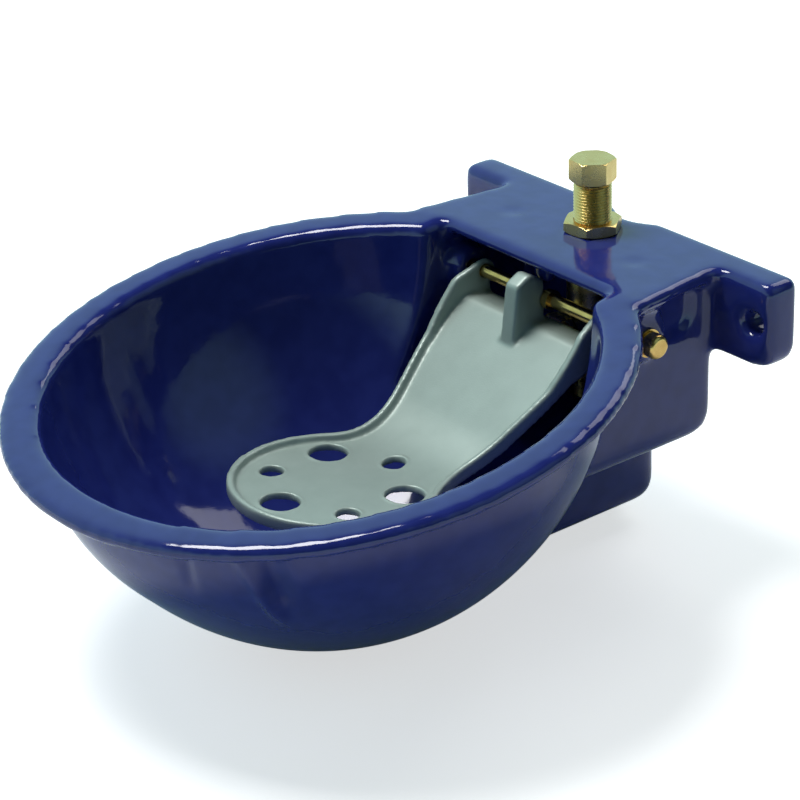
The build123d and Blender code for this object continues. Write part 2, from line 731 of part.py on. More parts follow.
with BuildPart() as hinge_pin:
    with BuildSketch(across_x(washer_face_x, -1)):
        Circle(PIN_R)
    extrude(amount=2 * washer_face_x + PIN_NUT_HEIGHT + PIN_END_PROUD)
    chamfer(hinge_pin.edges().sort_by(Axis.X)[0], PIN_END_CHAMFER)
    with BuildSketch(across_x(washer_face_x)):
        Circle(PIN_HEAD_R)
    extrude(amount=PIN_HEAD_HEIGHT + PIN_DOME_HEIGHT)
    fillet(hinge_pin.edges().sort_by(Axis.X)[-1], PIN_DOME_HEIGHT)
finish(hinge_pin, "hinge_pin")

ring(across_x(boss_face_x), PIN_WASHER_R, PIN_R + HOLE_CLEAR, PIN_WASHER_T, "pin_head_washer")
ring(across_x(-boss_face_x, -1), PIN_WASHER_R, PIN_R + HOLE_CLEAR, PIN_WASHER_T, "pin_nut_washer")

with BuildPart() as pin_nut:
    nut_plane = across_x(-washer_face_x, -1)
    add(hex_blank(PIN_HEX_AF, PIN_NUT_HEIGHT, NUT_CHAMFER, NUT_CHAMFER).moved(nut_plane.location))
    with BuildSketch(nut_plane):
        Circle(PIN_R + FIT_CLEAR)
    extrude(amount=PIN_NUT_HEIGHT, mode=Mode.SUBTRACT)
finish(pin_nut, "pin_nut")

# a collar each side of the tab keeps the tongue in the middle
with BuildPart() as pin_collars:
    for side in (-1, 1):
        with BuildSketch(across_x(side * (TAB_WIDTH / 2 + COLLAR_GAP), side)):
            Circle(COLLAR_R)
            Circle(PIN_R, mode=Mode.SUBTRACT)
        extrude(amount=COLLAR_WIDTH)
finish(pin_collars, "pin_collars")

# ---------------------------------------------------------------- upright water fittings
with BuildPart() as valve_tee:
    with BuildSketch(on_valve(TEE_BOTTOM_Z)):
        Circle(TEE_R)
    extrude(amount=tee_top_z - TEE_BOTTOM_Z)
    with BuildSketch(on_valve(tee_top_z, -1)):
        Circle(SEAL_RING_R)
    extrude(amount=TEE_COLLAR_T)
    with BuildSketch(along_stem(BRANCH_FRONT_Y)):
        Circle(BRANCH_R)
    extrude(amount=VALVE_Y - BRANCH_FRONT_Y)
    for end_z, facing in ((tee_top_z, -1), (TEE_BOTTOM_Z, 1)):
        with BuildSketch(on_valve(end_z, facing)):
            Circle(THREAD_R + FIT_CLEAR)
        extrude(amount=TEE_SOCKET_DEPTH, mode=Mode.SUBTRACT)
    with BuildSketch(on_valve(TEE_BOTTOM_Z)):
        Circle(WATERWAY_R)
    extrude(amount=tee_top_z - TEE_BOTTOM_Z, mode=Mode.SUBTRACT)
    with BuildSketch(along_stem(BRANCH_FRONT_Y)):
        Circle(SEAT_THREAD_R + FIT_CLEAR)
    extrude(amount=SEAT_LIP_Y - BRANCH_FRONT_Y, mode=Mode.SUBTRACT)
    with BuildSketch(along_stem(BRANCH_FRONT_Y)):
        Circle(SPRING_CHAMBER_R)
    extrude(amount=SPRING_END_Y - BRANCH_FRONT_Y, mode=Mode.SUBTRACT)
finish(valve_tee, "valve_tee")


def nipple(low_z, high_z):
    """Threaded pipe nipple between two heights, bored through."""
    with BuildPart() as pipe:
        with BuildSketch(on_valve(low_z)):
            Circle(THREAD_R)
        extrude(amount=high_z - low_z)
        chamfer(pipe.edges().filter_by(GeomType.CIRCLE), NIPPLE_CHAMFER)
        with BuildSketch(on_valve(low_z)):
            Circle(WATERWAY_R)
        extrude(amount=high_z - low_z, mode=Mode.SUBTRACT)
    return pipe.part


def lock_nut(under_z, turn, name):
    """Thin pipe nut whose lower face is at under_z, turned by turn and finished under the given name."""
    with BuildPart() as nut:
        blank = hex_blank(LOCK_NUT_AF, LOCK_NUT_T, LOCK_NUT_CHAMFER, LOCK_NUT_CHAMFER)
        add(blank.moved(on_valve(under_z).location * Rotation(0, 0, turn)))
        with BuildSketch(on_valve(under_z)):
            Circle(THREAD_R + FIT_CLEAR)
        extrude(amount=LOCK_NUT_T, mode=Mode.SUBTRACT)
    finish(nut, name)


with BuildPart() as upper_nipple:
    add(nipple(tee_top_z - TEE_SOCKET_DEPTH + NIPPLE_GAP, neck_top_z))
finish(upper_nipple, "upper_nipple")

# the supply pipe is screwed on the free thread, which a groove parts from the lock nut
with BuildPart() as inlet_nipple:
    add(nipple(inlet_end_z, TEE_BOTTOM_Z + TEE_SOCKET_DEPTH - NIPPLE_GAP))
    with BuildSketch(on_valve(floor_nut_top_z - LOCK_NUT_T, -1)):
        Circle(THREAD_R)
        Circle(THREAD_R - INLET_GROOVE_DEPTH, mode=Mode.SUBTRACT)
    extrude(amount=INLET_GROOVE_WIDTH, mode=Mode.SUBTRACT)
finish(inlet_nipple, "inlet_nipple")

lock_nut(cover_top, COVER_NUT_TURN, "cover_lock_nut")
lock_nut(floor_nut_top_z - LOCK_NUT_T, 0, "floor_lock_nut")
ring(on_valve(tee_top_z), SEAL_RING_R, THREAD_R + HOLE_CLEAR, SEAL_RING_T, "cover_seal_ring")
ring(on_valve(floor_nut_top_z), SEAL_RING_R, THREAD_R + HOLE_CLEAR, SEAL_RING_T, "floor_seal_ring")
ring(on_valve(neck_top_z), THREAD_R - NIPPLE_CHAMFER, WATERWAY_R + FIT_CLEAR, GASKET_T, "plug_gasket")

with BuildPart() as hex_plug:
    plug_under = on_valve(neck_top_z + GASKET_T)
    plug_blank = hex_blank(PLUG_AF, PLUG_HEIGHT, PLUG_CHAMFER, PLUG_CHAMFER)
    add(plug_blank.moved(plug_under.location * Rotation(0, 0, PLUG_TURN)))
    with BuildSketch(on_valve(neck_top_z + GASKET_T, -1)):
        Circle(WATERWAY_R - FIT_CLEAR)
    extrude(amount=PLUG_STUB_LENGTH)
finish(hex_plug, "hex_plug")

with BuildPart() as inlet_strainer:
    with BuildSketch(on_valve(inlet_end_z)):
        Circle(WATERWAY_R - FIT_CLEAR)
    extrude(amount=STRAINER_LENGTH)
    with BuildSketch(on_valve(inlet_end_z)):
        Circle(WATERWAY_R - FIT_CLEAR - STRAINER_WALL)
    extrude(amount=STRAINER_LENGTH - STRAINER_WALL, mode=Mode.SUBTRACT)
    with BuildSketch(on_valve(inlet_end_z)):
        Circle(STRAINER_HOLE_D / 2)
        with PolarLocations(WATERWAY_R / 2, 6):
            Circle(STRAINER_HOLE_D / 2)
    extrude(amount=STRAINER_LENGTH, mode=Mode.SUBTRACT)
finish(inlet_strainer, "inlet_strainer")

# ---------------------------------------------------------------- valve on the horizontal stem
with BuildPart() as valve_seat:
    with BuildSketch(along_stem(SEAT_LIP_Y, -1)):
        Circle(SEAT_THREAD_R)
    extrude(amount=SEAT_LIP_Y - seat_flange_y)
    add(hex_blank(SEAT_HEX_AF, SEAT_HEX_T, NUT_CHAMFER).moved(along_stem(seat_flange_y, -1).location))
    with BuildSketch(along_stem(seat_nose_y, -1)):
        Circle(SEAT_NOSE_R)
    extrude(amount=SEAT_NOSE_LENGTH)
    chamfer(valve_seat.edges().group_by(Axis.Y)[-1], SEAT_LIP_CHAMFER)
    with BuildSketch(along_stem(SEAT_LIP_Y, -1)):
        Circle(SEAT_PORT_R)
    extrude(amount=SEAT_LIP_Y - seat_tip_y - SEAT_GUIDE, mode=Mode.SUBTRACT)
    with BuildSketch(along_stem(SEAT_LIP_Y, -1)):
        Circle(STEM_R + RUN_CLEAR)
    extrude(amount=SEAT_LIP_Y - seat_tip_y, mode=Mode.SUBTRACT)
    for outlet_plane, outlet_at in (
        (Plane.YZ, (outlet_y, STEM_Z)),
        (Plane.XY.offset(STEM_Z), (0, outlet_y)),
    ):
        with BuildSketch(outlet_plane):
            with Locations(outlet_at):
                Circle(OUTLET_D / 2)
        extrude(amount=SEAT_NOSE_R, both=True, mode=Mode.SUBTRACT)
finish(valve_seat, "valve_seat")

ring(along_stem(seat_flange_y), BRANCH_R - FIT_CLEAR, SEAT_THREAD_R + FIT_CLEAR, GASKET_T, "seat_gasket")

with BuildPart() as valve_stem:
    with BuildSketch(along_stem(button_tip_y)):
        Circle(STEM_BUTTON_R)
    extrude(amount=STEM_BUTTON_T)
    fillet(valve_stem.edges().group_by(Axis.Y)[0], STEM_BUTTON_EDGE_R)
    with BuildSketch(along_stem(button_tip_y)):
        Circle(STEM_R)
    extrude(amount=stem_end_y - button_tip_y)
finish(valve_stem, "valve_stem")

ring(along_stem(disc_front_y), DISC_R, STEM_R, DISC_T, "seal_disc")
ring(along_stem(disc_back_y), DISC_R, STEM_R, DISC_WASHER_T, "disc_washer")

with BuildPart() as stem_nut:
    stem_nut_plane = along_stem(washer_back_y)
    add(hex_blank(STEM_NUT_AF, STEM_NUT_T, 0).moved(stem_nut_plane.location))
    with BuildSketch(stem_nut_plane):
        Circle(STEM_R)
    extrude(amount=STEM_NUT_T, mode=Mode.SUBTRACT)
finish(stem_nut, "stem_nut")

with BuildPart() as valve_spring:
    with BuildLine():
        coil = Helix(
            pitch=spring_length / SPRING_TURNS,
            height=spring_length,
            radius=SPRING_R,
            center=(0, washer_back_y + SPRING_WIRE_R, STEM_Z),
            direction=(0, 1, 0),
        )
    with BuildSketch(Plane(origin=coil @ 0, z_dir=coil % 0)):
        Circle(SPRING_WIRE_R)
    sweep()
finish(valve_spring, "valve_spring")
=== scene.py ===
# %% [markdown]
# # A livestock drinking bowl
# This bowl hangs on a stable wall. An animal pushes the tongue with its muzzle, the tongue's heel
# pushes a valve stem, and water runs in. The metal shapes come from the CAD frame, and here they
# get what casting, enamelling and thread cutting give them.

from math import atan2, cos, degrees, exp, pi, radians, sin

import bmesh
import bpy
from mathutils import Matrix, Vector
from mathutils.bvhtree import BVHTree


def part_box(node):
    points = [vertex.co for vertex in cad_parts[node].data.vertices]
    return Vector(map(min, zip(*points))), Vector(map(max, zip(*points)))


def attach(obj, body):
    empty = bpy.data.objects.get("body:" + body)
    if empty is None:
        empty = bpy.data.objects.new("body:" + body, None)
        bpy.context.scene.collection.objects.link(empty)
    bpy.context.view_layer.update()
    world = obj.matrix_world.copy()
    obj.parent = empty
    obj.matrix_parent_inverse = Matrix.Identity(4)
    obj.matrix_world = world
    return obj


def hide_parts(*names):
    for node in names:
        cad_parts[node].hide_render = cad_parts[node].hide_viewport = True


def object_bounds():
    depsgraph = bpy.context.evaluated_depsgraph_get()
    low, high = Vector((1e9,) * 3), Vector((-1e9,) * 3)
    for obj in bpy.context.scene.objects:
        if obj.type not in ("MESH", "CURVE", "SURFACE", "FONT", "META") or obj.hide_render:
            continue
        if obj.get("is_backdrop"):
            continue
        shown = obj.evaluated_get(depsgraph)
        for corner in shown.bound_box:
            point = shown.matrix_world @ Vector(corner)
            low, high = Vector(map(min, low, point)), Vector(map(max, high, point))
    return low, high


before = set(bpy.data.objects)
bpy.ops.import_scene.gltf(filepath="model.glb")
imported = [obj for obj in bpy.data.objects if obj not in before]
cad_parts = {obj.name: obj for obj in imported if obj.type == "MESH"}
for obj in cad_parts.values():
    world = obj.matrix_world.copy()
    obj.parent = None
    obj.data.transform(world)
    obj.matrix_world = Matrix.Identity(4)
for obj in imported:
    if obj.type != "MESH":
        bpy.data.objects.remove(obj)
cad_low, cad_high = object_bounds()
MM = 0.001
WELD = 0.001 * MM
print("CAD box in mm:", [round(value / MM, 1) for value in (*cad_low, *cad_high)])

# %% [markdown]
# ## Colours and nodes
# Paint and glaze makers give colours as hex codes, which are sRGB, while the shader works in linear
# light. One function turns the first into the second. Another adds a node with its settings and
# links, so that each finish below reads as a short list.

# %% Two small helpers
def colour(code):
    """Linear RGBA of an sRGB hex code."""
    channels = [int(code[start : start + 2], 16) / 255 for start in (0, 2, 4)]
    return [c / 12.92 if c <= 0.04045 else ((c + 0.055) / 1.055) ** 2.4 for c in channels] + [1.0]


def add(tree, kind, inputs=None, **settings):
    """New node of a tree with its settings; inputs are numbers, colours or other nodes' sockets."""
    new = tree.nodes.new(kind)
    for name, value in settings.items():
        setattr(new, name, value)
    for name, value in (inputs or {}).items():
        if isinstance(value, bpy.types.NodeSocket):
            tree.links.new(value, new.inputs[name])
        else:
            new.inputs[name].default_value = value
    return new


def finish_named(name, **shader_inputs):
    """New material with one surface shader; returns the material, its tree and the shader."""
    material = bpy.data.materials.new(name)
    material.use_nodes = True
    tree = material.node_tree
    tree.nodes.clear()
    shader = add(tree, "ShaderNodeBsdfPrincipled", shader_inputs)
    add(tree, "ShaderNodeOutputMaterial", {"Surface": shader.outputs["BSDF"]})
    return material, tree, shader


print("helpers ready, for example white is", colour("FFFFFF"))

# %% [markdown]
# ## Camera
# The bowl is seen from its right front, from above, with a long lens that keeps the rim's ellipse
# nearly parallel. The angles are a compass turn, a tilt down and a slight roll.

# %% Camera
CAMERA_AT = Vector((860.5, -812.9, 499.9)) * MM
CAMERA_TURN = radians(51.77)
CAMERA_TILT = radians(25.70)
CAMERA_ROLL = radians(-1.83)
CAMERA_LENS = 130.7
SENSOR_WIDTH = 36
NEAREST = 10 * MM

ahead = Vector(
    (
        -sin(CAMERA_TURN) * cos(CAMERA_TILT),
        cos(CAMERA_TURN) * cos(CAMERA_TILT),
        -sin(CAMERA_TILT),
    )
)
level_right = Vector((cos(CAMERA_TURN), sin(CAMERA_TURN), 0))
level_up = level_right.cross(ahead)
right = level_right * cos(CAMERA_ROLL) + level_up * sin(CAMERA_ROLL)
up = level_up * cos(CAMERA_ROLL) - level_right * sin(CAMERA_ROLL)

camera = bpy.data.objects.new("camera", bpy.data.cameras.new("camera"))
bpy.context.scene.collection.objects.link(camera)
camera.data.lens = CAMERA_LENS
camera.data.sensor_width = SENSOR_WIDTH
camera.data.clip_start = NEAREST
facing = Matrix((right, up, -ahead)).transposed().to_4x4()
camera.matrix_world = Matrix.Translation(CAMERA_AT) @ facing
bpy.context.scene.camera = camera
bpy.context.scene.view_settings.view_transform = "Standard"
print("camera stands", round(CAMERA_AT.length, 3), "m from the wall bolts")

# %% [markdown]
# ## Studio
# A glossy glaze shows the room more than the lamps. Panels all round would do for matt things, but
# they would wash out the hollow. So the room has a pale wall low down and on the left and a dark
# ceiling over the bowl: the flat cover mirrors the wall while the hollow stays deep blue. The
# boundary leans to the right, and a soft window there leaves a faint patch in the hollow. The
# room's light is a cool white, and the floor answers it in the underside.

# %% Floor
FLOOR_SIZE = 8.0
FLOOR_GAP = 0.5 * MM
FLOOR_WHITE = "F4F4F4"
FLOOR_GLOW = 0.62
FLOOR_MIRRORED = "A8E4E0"
FLOOR_ROUGHNESS = 0.9
SHADED_WITHIN = 0.3
OPEN_BEYOND = 0.9

floor_mesh = bpy.data.meshes.new("floor")
half = FLOOR_SIZE / 2
floor_z = cad_low.z - FLOOR_GAP
corners = [(-half, -half), (half, -half), (half, half), (-half, half)]
floor_mesh.from_pydata([(x, y, floor_z) for x, y in corners], [], [(0, 1, 2, 3)])
floor = bpy.data.objects.new("floor", floor_mesh)
bpy.context.scene.collection.objects.link(floor)
floor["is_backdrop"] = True

# the floor glows to the camera, and in reflections only where it lies open: near the bowl the
# mirrored glow is withheld, a painted shade round the bowl that stands for its shadow
floor_paint, tree, shader = finish_named(
    "matt_white_floor",
    **{"Base Color": colour(FLOOR_WHITE), "Roughness": FLOOR_ROUGHNESS},
)
path = add(tree, "ShaderNodeLightPath")
mirrored = add(
    tree,
    "ShaderNodeMath",
    {0: path.outputs["Is Glossy Ray"], 1: path.outputs["Is Transmission Ray"]},
    operation="MAXIMUM",
)
place = add(tree, "ShaderNodeTexCoord")
away = add(tree, "ShaderNodeVectorMath", {0: place.outputs["Object"]}, operation="LENGTH")
open_floor = add(
    tree,
    "ShaderNodeMapRange",
    {"Value": away.outputs["Value"], "From Min": SHADED_WITHIN, "From Max": OPEN_BEYOND},
)
mirrored_glow = add(
    tree,
    "ShaderNodeMath",
    {0: mirrored.outputs[0], 1: open_floor.outputs[0]},
    operation="MULTIPLY",
)
seen = add(
    tree,
    "ShaderNodeMath",
    {0: path.outputs["Is Camera Ray"], 1: mirrored_glow.outputs[0]},
    operation="MAXIMUM",
)
glow = add(tree, "ShaderNodeMath", {0: seen.outputs[0], 1: FLOOR_GLOW}, operation="MULTIPLY")
# the glow that the bowl mirrors gets a painted cool tint, standing for the room's cool light
hue = add(
    tree,
    "ShaderNodeMix",
    {
        "Factor": path.outputs["Is Camera Ray"],
        "A": colour(FLOOR_MIRRORED),
        "B": colour("FFFFFF"),
    },
    data_type="RGBA",
)
tree.links.new(hue.outputs["Result"], shader.inputs["Emission Color"])
tree.links.new(glow.outputs[0], shader.inputs["Emission Strength"])
floor_mesh.materials.append(floor_paint)
print("floor lies at", round(floor_z / MM, 1), "mm")

# %% Room
ROOM_WHITE = "C0EEF2"
CEILING_WAY = (0.6, 0.0, 0.8)
WALL_ENDS = 0.12
CEILING_STARTS = 0.5
CEILING_LIGHT = 0.05
WINDOW_WAY = (0.815, 0.265, 0.515)
WINDOW_EDGE = 0.82
WINDOW_MIDDLE = 0.99
WINDOW_LIGHT = 0.4
# the share of the room's light that falls on the bowl, beside what its surfaces mirror
FALLING_SHARE = 0.9

world = bpy.data.worlds.new("white_room")
world.use_nodes = True
bpy.context.scene.world = world
tree = world.node_tree
tree.nodes.clear()
look = add(tree, "ShaderNodeTexCoord")
overhead = add(
    tree,
    "ShaderNodeVectorMath",
    {0: look.outputs["Generated"], 1: CEILING_WAY},
    operation="DOT_PRODUCT",
)
wall = add(
    tree,
    "ShaderNodeMapRange",
    {
        "Value": overhead.outputs["Value"],
        "From Min": WALL_ENDS,
        "From Max": CEILING_STARTS,
        "To Min": 1.0,
        "To Max": CEILING_LIGHT,
    },
    interpolation_type="SMOOTHSTEP",
)
aside = add(
    tree,
    "ShaderNodeVectorMath",
    {0: look.outputs["Generated"], 1: WINDOW_WAY},
    operation="DOT_PRODUCT",
)
window = add(
    tree,
    "ShaderNodeMapRange",
    {
        "Value": aside.outputs["Value"],
        "From Min": WINDOW_EDGE,
        "From Max": WINDOW_MIDDLE,
        "To Max": WINDOW_LIGHT,
    },
    interpolation_type="SMOOTHSTEP",
)
room_light = add(
    tree, "ShaderNodeMath", {0: wall.outputs[0], 1: window.outputs[0]}, operation="ADD"
)
path = add(tree, "ShaderNodeLightPath")
seen_or_mirrored = add(
    tree,
    "ShaderNodeMath",
    {0: path.outputs["Is Camera Ray"], 1: path.outputs["Is Glossy Ray"]},
    operation="MAXIMUM",
)
seen = add(
    tree,
    "ShaderNodeMath",
    {0: seen_or_mirrored.outputs[0], 1: path.outputs["Is Transmission Ray"]},
    operation="MAXIMUM",
)
share = add(
    tree,
    "ShaderNodeMapRange",
    {"Value": seen.outputs[0], "To Min": FALLING_SHARE, "To Max": 1.0},
)
strength = add(
    tree, "ShaderNodeMath", {0: room_light.outputs[0], 1: share.outputs[0]}, operation="MULTIPLY"
)
background = add(
    tree,
    "ShaderNodeBackground",
    {"Color": colour(ROOM_WHITE), "Strength": strength.outputs[0]},
)
add(tree, "ShaderNodeOutputWorld", {"Surface": background.outputs[0]})
print("the ceiling's light is", CEILING_LIGHT)

# %% Lamps
LAMPS = {
    # name: (place in metres, width in metres, watts)
    "key_panel": ((-0.6, -0.4, 1.7), 0.7, 26.0),
    "back_panel": ((-0.2, 1.1, 1.3), 0.9, 6.0),
}
LAMPS_AIM = Vector((0, -0.14, -0.03))
for name, (place, size, watts) in LAMPS.items():
    lamp = bpy.data.lights.new(name, "AREA")
    lamp.size = size
    lamp.energy = watts
    holder = bpy.data.objects.new(name, lamp)
    aim = (LAMPS_AIM - Vector(place)).to_track_quat("-Z", "Y").to_matrix().to_4x4()
    holder.matrix_world = Matrix.Translation(place) @ aim
    bpy.context.scene.collection.objects.link(holder)
print("lamps:", ", ".join(LAMPS))

# %% [markdown]
# ## Blue porcelain enamel
# The bowl is cast iron, dusted with ground glass and fired. The glass is about a quarter of a
# millimetre thick and deep cobalt blue. It levels as it melts, but keeps long soft waves over the
# sand-cast iron and a fine orange peel, so its highlights wander. It is glass, so its IOR is 1.52
# and it has no metallic share: the iron doesn't show. The waves could be moved into the mesh, but
# bump costs no faces and reads the same at this height.

# %% Enamel
ENAMEL_DEEP = "212A72"
ENAMEL_THIN = "26307A"
ENAMEL_WAVE_MM = 9.0
ENAMEL_WAVE_HEIGHT = 0.25 * MM
ENAMEL_PEEL_MM = 2.2
ENAMEL_PEEL_HEIGHT = 0.05 * MM
enamel, tree, shader = finish_named("fired_blue_enamel", **{"Roughness": 0.07, "IOR": 1.52})
place = add(tree, "ShaderNodeTexCoord")
waves = add(
    tree,
    "ShaderNodeTexNoise",
    {"Vector": place.outputs["Object"], "Scale": 1 / (ENAMEL_WAVE_MM * MM), "Detail": 1.0},
)
peel = add(
    tree,
    "ShaderNodeTexNoise",
    {"Vector": place.outputs["Object"], "Scale": 1 / (ENAMEL_PEEL_MM * MM), "Detail": 2.0},
)
depth_of_colour = add(
    tree,
    "ShaderNodeMapRange",
    {"Value": waves.outputs["Fac"], "From Min": 0.35, "From Max": 0.65},
)
glaze = add(
    tree,
    "ShaderNodeMix",
    {"Factor": depth_of_colour.outputs[0], "A": colour(ENAMEL_DEEP), "B": colour(ENAMEL_THIN)},
    data_type="RGBA",
)
tree.links.new(glaze.outputs["Result"], shader.inputs["Base Color"])
long_waves = add(
    tree,
    "ShaderNodeBump",
    {"Height": waves.outputs["Fac"], "Strength": 0.35, "Distance": ENAMEL_WAVE_HEIGHT},
)
fine_peel = add(
    tree,
    "ShaderNodeBump",
    {
        "Height": peel.outputs["Fac"],
        "Strength": 0.3,
        "Distance": ENAMEL_PEEL_HEIGHT,
        "Normal": long_waves.outputs[0],
    },
)
tree.links.new(fine_peel.outputs[0], shader.inputs["Normal"])
print("enamel waves are", ENAMEL_WAVE_MM, "mm long")

# %% [markdown]
# ## Grey casting
# The tongue is cast iron too, left with a thin grey zinc coat instead of enamel, because an
# animal's teeth would chip glass. Sand gives it a fine grain, and the zinc dulls in cloudy patches.
# Its dull skin hides most of the metal, so the metallic share is low and the grey is matt.

# %% Zinc-coated casting
ZINC_DULL = "92A19A"
ZINC_BRIGHT = "ABB9B1"
SAND_GRAIN_MM = 0.6
SAND_GRAIN_HEIGHT = 0.12 * MM
ZINC_CLOUD_MM = 14.0
ROUGH_ZINC = 0.5
RUBBED_ZINC = 0.34
zinc, tree, shader = finish_named("zinc_coated_casting", **{"Metallic": 0.25, "IOR": 1.5})
place = add(tree, "ShaderNodeTexCoord")
clouds = add(
    tree,
    "ShaderNodeTexNoise",
    {"Vector": place.outputs["Object"], "Scale": 1 / (ZINC_CLOUD_MM * MM), "Detail": 4.0},
)
sand = add(
    tree,
    "ShaderNodeTexNoise",
    {"Vector": place.outputs["Object"], "Scale": 1 / (SAND_GRAIN_MM * MM), "Detail": 2.0},
)
dull = add(
    tree,
    "ShaderNodeMix",
    {"Factor": clouds.outputs["Fac"], "A": colour(ZINC_DULL), "B": colour(ZINC_BRIGHT)},
    data_type="RGBA",
)
tree.links.new(dull.outputs["Result"], shader.inputs["Base Color"])
wear = add(
    tree,
    "ShaderNodeMapRange",
    {"Value": clouds.outputs["Fac"], "To Min": ROUGH_ZINC, "To Max": RUBBED_ZINC},
)
tree.links.new(wear.outputs[0], shader.inputs["Roughness"])
grain = add(
    tree,
    "ShaderNodeBump",
    {"Height": sand.outputs["Fac"], "Strength": 0.4, "Distance": SAND_GRAIN_HEIGHT},
)
tree.links.new(grain.outputs[0], shader.inputs["Normal"])
print("zinc clouds are", ZINC_CLOUD_MM, "mm wide")

# %% [markdown]
# ## Brass, steel and rubber
# The water fittings are turned and milled from free-cutting brass bar. A lathe leaves fine rings
# round the axis, so the brass gets thin streaks, long one way and short the other. One function
# makes every turned metal, with its two colours, its gloss and the way of its rings. The stem, its
# nut and the spring are stainless steel, and the seals are black rubber. Real tool marks are finer
# than a tenth of a millimetre and are drawn coarser here, so that they show.

# %% Brass
TOOL_MARK_MM = 0.35
TOOL_MARK_HEIGHT = 0.03 * MM
DULL_PATCH_MM = 5.0


def turned_metal(name, light, dark, smooth, rough, squeeze):
    """Metal with tool marks; squeeze stretches the marks along each axis."""
    metal, tree, shader = finish_named(name, **{"Metallic": 1.0})
    place = add(tree, "ShaderNodeTexCoord")
    along = add(tree, "ShaderNodeMapping", {"Vector": place.outputs["Object"], "Scale": squeeze})
    marks = add(
        tree,
        "ShaderNodeTexNoise",
        {"Vector": along.outputs[0], "Scale": 1 / (TOOL_MARK_MM * MM), "Detail": 1.0},
    )
    patches = add(
        tree,
        "ShaderNodeTexNoise",
        {"Vector": place.outputs["Object"], "Scale": 1 / (DULL_PATCH_MM * MM), "Detail": 3.0},
    )
    tint = add(
        tree,
        "ShaderNodeMix",
        {"Factor": patches.outputs["Fac"], "A": colour(dark), "B": colour(light)},
        data_type="RGBA",
    )
    tree.links.new(tint.outputs["Result"], shader.inputs["Base Color"])
    gloss = add(
        tree,
        "ShaderNodeMapRange",
        {"Value": patches.outputs["Fac"], "To Min": rough, "To Max": smooth},
    )
    tree.links.new(gloss.outputs[0], shader.inputs["Roughness"])
    bump = add(
        tree,
        "ShaderNodeBump",
        {"Height": marks.outputs["Fac"], "Strength": 0.12, "Distance": TOOL_MARK_HEIGHT},
    )
    tree.links.new(bump.outputs[0], shader.inputs["Normal"])
    return metal


RINGS_ROUND_Z = (0.05, 0.05, 1.0)
RINGS_ROUND_X = (1.0, 0.05, 0.05)
RINGS_ROUND_Y = (0.05, 1.0, 0.05)
BRASS = ("F0D694", "D2B068", 0.2, 0.34)
PIN_BRASS = ("F2CE84", "BE9450", 0.16, 0.3)
STAINLESS = ("C9CACB", "A9ABAD", 0.22, 0.38)
fitting_brass = turned_metal("turned_brass", *BRASS, RINGS_ROUND_Z)
pin_brass = turned_metal("turned_pin_brass", *PIN_BRASS, RINGS_ROUND_X)
valve_brass = turned_metal("turned_valve_brass", *BRASS, RINGS_ROUND_Y)
steel = turned_metal("drawn_stainless_steel", *STAINLESS, RINGS_ROUND_Y)
print("tool marks are", TOOL_MARK_MM, "mm apart")

# %% Rubber
RUBBER_BLACK = "1B1B1C"
RUBBER_GRAIN_MM = 0.4
RUBBER_GRAIN_HEIGHT = 0.04 * MM
rubber, tree, shader = finish_named(
    "moulded_black_rubber", **{"Base Color": colour(RUBBER_BLACK), "Roughness": 0.62}
)
place = add(tree, "ShaderNodeTexCoord")
grain = add(
    tree,
    "ShaderNodeTexNoise",
    {"Vector": place.outputs["Object"], "Scale": 1 / (RUBBER_GRAIN_MM * MM), "Detail": 2.0},
)
bump = add(
    tree,
    "ShaderNodeBump",
    {"Height": grain.outputs["Fac"], "Strength": 0.3, "Distance": RUBBER_GRAIN_HEIGHT},
)
tree.links.new(bump.outputs[0], shader.inputs["Normal"])
print("rubber grain is", RUBBER_GRAIN_MM, "mm")

# %% [markdown]
# ## The castings
# Neither casting has a sharp edge: sand rounds the iron, and the melted glass pulls back from
# corners and fills hollows. CAD edges are sharp. A bevel fails where so many faces meet, so a voxel
# remesh turns the solid into an even skin, and a few smoothing passes round every edge by a little
# more than a voxel. Where the skin still faces the way the CAD surface does, it is laid back on
# that surface, which takes out most of the waves that voxels leave in the rim. A few last passes
# blend both kinds of skin.

# %% Cast skins
CAST_VOXEL_MM = 1.95
TONGUE_VOXEL_MM = 0.75
CAST_PASSES = 12
TONGUE_PASSES = 5
LAST_PASSES = 8
PASS_STRENGTH = 0.5
REACH_VOXELS = 1.5
NORMALS_PART = 0.8
NORMALS_AGREE = 0.88


def ramp(value):
    """Value held between 0 and 1, with soft ends."""
    value = min(max(value, 0.0), 1.0)
    return value * value * (3 - 2 * value)


